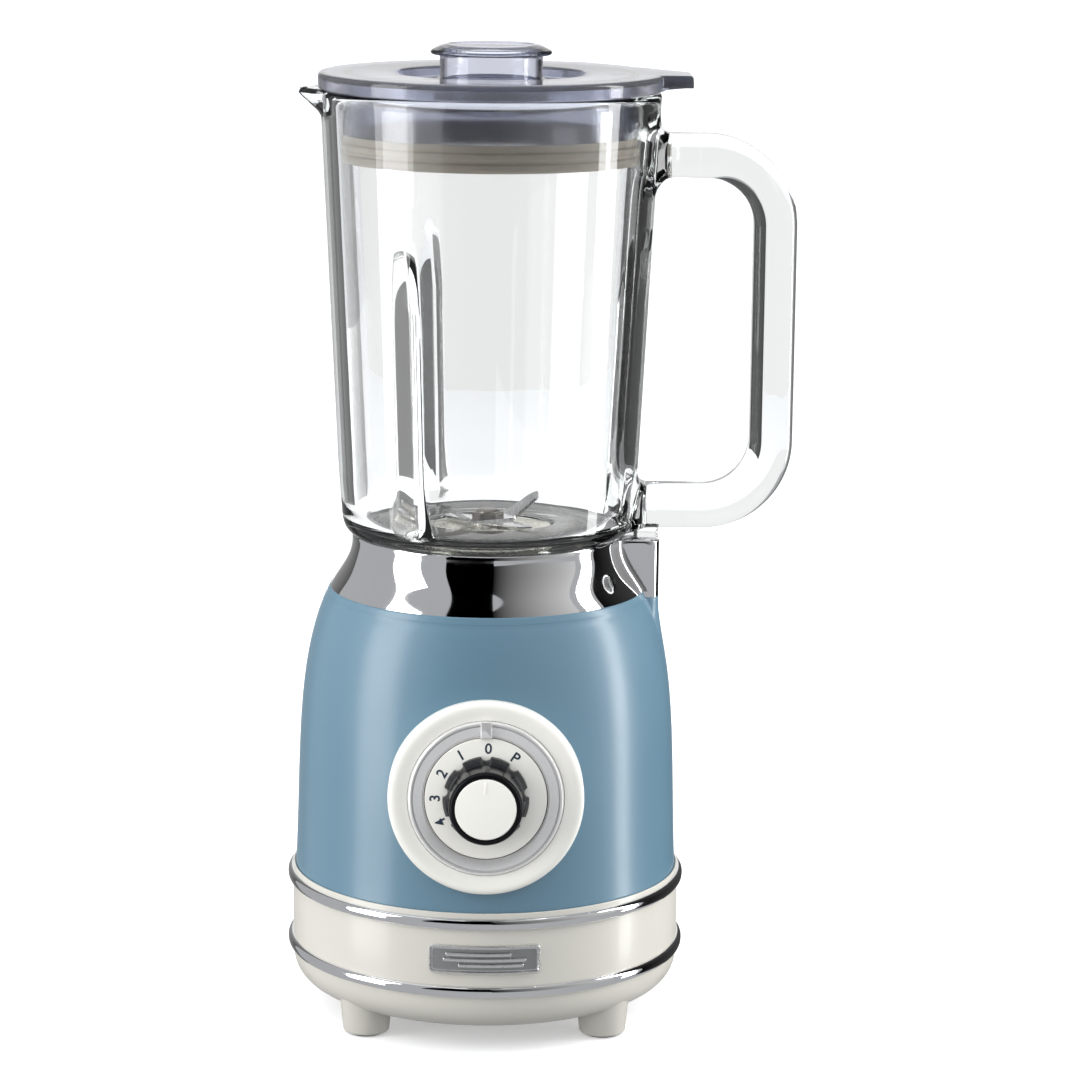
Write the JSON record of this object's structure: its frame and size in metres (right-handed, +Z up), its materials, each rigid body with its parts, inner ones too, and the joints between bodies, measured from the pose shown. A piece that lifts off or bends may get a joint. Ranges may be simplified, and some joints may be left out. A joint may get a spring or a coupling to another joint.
{
  "type": "countertop blender",
  "caption": "Countertop blender with round motor base, front speed dial, glass jug with loop handle, crossed blades, lid and measuring cap",
  "frame": {"origin": "on the table, on the motor's axis, in the middle of the four feet", "axes": "+Z up along the motor's axis; the dial faces -Y; the jug's handle is on +X and its pouring lip on -X"},
  "size_m": [0.2072, 0.1872, 0.4009],
  "materials": {
    "cream_enamel": "satin cream enamel",
    "cream_plastic": "satin cream plastic",
    "rubber_pad": "matt rubber",
    "polished_trim": "polished",
    "badge_metal": "brushed",
    "blue_paint": "satin metallic blue",
    "dark_plastic": "matt",
    "zinc_screw": "zinc plated",
    "black_gloss": "glossy",
    "board_green": "solder mask",
    "capacitor_yellow": "moulded",
    "cast_alloy": "die cast",
    "bearing_steel": "ground",
    "lamination_steel": "stacked sheet",
    "copper_wire": "enamelled copper",
    "brass": "drawn",
    "carbon": "graphite",
    "fan_plastic": "natural",
    "jar_glass": "clear pressed glass",
    "unit_plastic": "satin",
    "seal_rubber": "beige silicone",
    "blade_steel": "ground stainless",
    "smoke_plastic": "translucent smoke",
    "cap_plastic": "clear smoke plastic"
  },
  "bodies": {
    "base": {"base_pan": "cream_enamel", "foot_pads": "rubber_pad", "base_band": "cream_enamel", "lower_trim_ring": "polished_trim", "upper_trim_ring": "polished_trim", "badge_plate": "badge_metal", "body_shell": "blue_paint", "chrome_collar": "polished_trim", "jug_seat": "dark_plastic", "tie_screws": "zinc_screw", "collar_screws": "zinc_screw", "dial_bezel": "cream_plastic", "dial_ring": "polished_trim", "rotary_switch": "dark_plastic", "control_board": "board_green", "suppression_capacitor": "capacitor_yellow", "interlock_switch": "dark_plastic", "cord_gland": "dark_plastic", "fan_shroud": "dark_plastic", "motor_upper_bracket": "cast_alloy", "motor_lower_bracket": "cast_alloy", "upper_bearing": "bearing_steel", "lower_bearing": "bearing_steel", "stator_core": "lamination_steel", "field_coils": "copper_wire", "through_bolts": "zinc_screw", "brush_holders": "brass", "carbon_brushes": "carbon", "brush_springs": "zinc_screw", "motor_mounts": "rubber_pad", "motor_screws": "zinc_screw"},
    "rotor": {"rotor_shaft": "bearing_steel", "rotor_core": "lamination_steel", "rotor_windings": "copper_wire", "commutator": "copper_wire", "cooling_fan": "fan_plastic", "drive_coupling": "black_gloss"},
    "jug": {"glass_jar": "jar_glass", "blade_base": "unit_plastic", "blade_bushing": "brass", "jar_gasket": "seal_rubber", "jar_nut": "dark_plastic"},
    "blades": {"blade_shaft": "blade_steel", "lower_blade": "blade_steel", "upper_blade": "blade_steel", "blade_washer": "blade_steel", "blade_nut": "blade_steel", "jar_coupling": "black_gloss"},
    "lid": {"lid": "smoke_plastic", "lid_gasket": "seal_rubber"},
    "cap": {"measuring_cap": "cap_plastic"},
    "dial": {"dial_disc": "cream_plastic", "knob": "black_gloss", "knob_cap": "cream_plastic", "knob_spindle": "bearing_steel"},
    "pin": {"interlock_pin": "fan_plastic"}
  },
  "joints": [
    {"name": "motor_spin", "type": "hinge", "parent": "base", "child": "rotor", "pos_m": [0, 0, 0.15], "axis": [0, 0, 1], "continuous": true},
    {"name": "dial_turn", "type": "hinge", "parent": "base", "child": "dial", "pos_m": [0, -0.07839, 0.1087], "axis": [0, -0.9976, 0.0698], "range_deg": [-120, 30]},
    {"name": "jug_lift", "type": "slide", "parent": "base", "child": "jug", "axis": [0, 0, 1], "range_m": [0, 0.06]},
    {"name": "blade_spin", "type": "hinge", "parent": "jug", "child": "blades", "pos_m": [0, 0, 0.2], "axis": [0, 0, 1], "continuous": true},
    {"name": "lid_lift", "type": "slide", "parent": "jug", "child": "lid", "axis": [0, 0, 1], "range_m": [0, 0.05]},
    {"name": "cap_lift", "type": "slide", "parent": "lid", "child": "cap", "axis": [0, 0, 1], "range_m": [0, 0.035]},
    {"name": "interlock_travel", "type": "slide", "parent": "base", "child": "pin", "axis": [0, 0, 1], "range_m": [0, 0.003]}
  ],
  "couplings": [
    {"joint": "blade_spin", "follows": "motor_spin", "ratio": 1},
    {"joint": "interlock_travel", "follows": "jug_lift", "ratio": 0.05}
  ]
}
